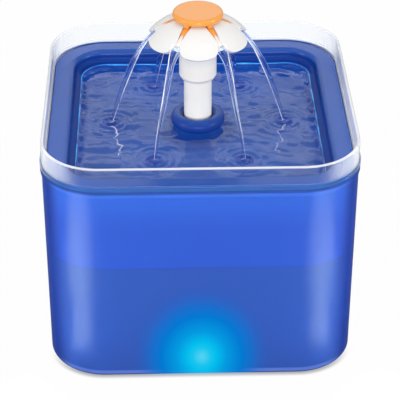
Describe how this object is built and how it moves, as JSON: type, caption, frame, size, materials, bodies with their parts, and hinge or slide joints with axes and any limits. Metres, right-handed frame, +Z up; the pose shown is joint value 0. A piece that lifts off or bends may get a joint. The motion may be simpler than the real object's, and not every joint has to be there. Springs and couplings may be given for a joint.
{
  "type": "pet water fountain",
  "caption": "Square pet water fountain: translucent tank, clear splash collar, drinking tray, flower spout on a riser, filter cartridge and a lit submersible pump.",
  "frame": {"origin": "centre of the tank's foot, on the surface it stands on", "axes": "+Z up through the riser; -Y is the front, the side that the pump's light faces; +X to the right seen from the front"},
  "size_m": [0.1728, 0.1732, 0.1845],
  "materials": {
    "tank_blue": "translucent blue moulded plastic, fine satin gloss",
    "tray_blue": "opaque blue moulded plastic, satin",
    "clear_plastic": "clear colourless moulded plastic, polished",
    "white_plastic": "white moulded plastic, satin gloss",
    "orange_plastic": "orange moulded plastic, glossy",
    "grey_silicone": "soft silicone, matt",
    "pan_white": "white moulded plastic",
    "cartridge_white": "white moulded plastic",
    "fleece": "non-woven fleece",
    "carbon": "loose carbon and resin granules",
    "pump_black": "black moulded plastic, fine grain",
    "laminations": "stacked steel laminations",
    "bobbin_nylon": "natural nylon",
    "copper": "enamelled copper wire",
    "circuit_board": "lacquered circuit board",
    "lens_clear": "clear potted lens, lit blue",
    "black_rubber": "moulded rubber",
    "ceramic": "ground ceramic rod",
    "magnet": "sintered ferrite",
    "impeller_white": "white moulded plastic",
    "sponge": "open-cell foam",
    "dial_grey": "grey moulded plastic",
    "cup_silicone": "clear soft silicone"
  },
  "bodies": {
    "tank": {"water_tank": "tank_blue", "cable_grommet": "grey_silicone"},
    "collar": {"splash_collar": "clear_plastic"},
    "pan": {"filter_pan": "pan_white"},
    "cartridge": {"cartridge_frame": "cartridge_white", "cartridge_fleece_lower": "fleece", "cartridge_granules": "carbon", "cartridge_fleece_upper": "fleece"},
    "tray": {"drinking_tray": "tray_blue"},
    "riser": {"riser_tube": "white_plastic"},
    "flower": {"flower_body": "white_plastic"},
    "core": {"flower_core": "orange_plastic"},
    "pump": {"motor_housing": "pump_black", "motor_end_plate": "pump_black", "stator_core": "laminations", "coil_bobbin": "bobbin_nylon", "motor_coil": "copper", "led_board": "circuit_board", "led_lens": "lens_clear", "pump_cable_gland": "black_rubber", "pump_volute": "pump_black", "rotor_shaft": "ceramic", "shaft_bush_front": "black_rubber", "shaft_bush_rear": "black_rubber", "suction_cup_1": "cup_silicone", "suction_cup_2": "cup_silicone", "suction_cup_3": "cup_silicone", "suction_cup_4": "cup_silicone"},
    "rotor": {"rotor_magnet": "magnet", "impeller": "impeller_white"},
    "strainer": {"strainer_cover": "pump_black", "prefilter_sponge": "sponge"},
    "dial": {"flow_dial": "dial_grey"}
  },
  "joints": [
    {"name": "collar_lift", "type": "slide", "parent": "tank", "child": "collar", "axis": [0, 0, 1], "range_m": [0, 0.06]},
    {"name": "pan_lift", "type": "slide", "parent": "collar", "child": "pan", "axis": [0, 0, 1], "range_m": [0, 0.055]},
    {"name": "cartridge_lift", "type": "slide", "parent": "pan", "child": "cartridge", "axis": [0, 0, 1], "range_m": [0, 0.04]},
    {"name": "tray_lift", "type": "slide", "parent": "cartridge", "child": "tray", "axis": [0, 0, 1], "range_m": [0, 0.04]},
    {"name": "riser_turn", "type": "hinge", "parent": "tray", "child": "riser", "pos_m": [0, 0, 0.12], "axis": [0, 0, 1], "continuous": true},
    {"name": "flower_lift", "type": "slide", "parent": "riser", "child": "flower", "axis": [0, 0, 1], "range_m": [0, 0.03]},
    {"name": "core_lift", "type": "slide", "parent": "flower", "child": "core", "axis": [0, 0, 1], "range_m": [0, 0.025]},
    {"name": "pump_lift", "type": "slide", "parent": "tank", "child": "pump", "axis": [0, 0, 1], "range_m": [0, 0.009]},
    {"name": "rotor_spin", "type": "hinge", "parent": "pump", "child": "rotor", "pos_m": [0, 0, 0.024], "axis": [0, 1, 0], "continuous": true},
    {"name": "strainer_slide", "type": "slide", "parent": "pump", "child": "strainer", "axis": [0, 1, 0], "range_m": [0, 0.03]},
    {"name": "dial_turn", "type": "hinge", "parent": "strainer", "child": "dial", "pos_m": [0, 0.022, 0.024], "axis": [0, 1, 0], "range_deg": [0, 60]}
  ]
}
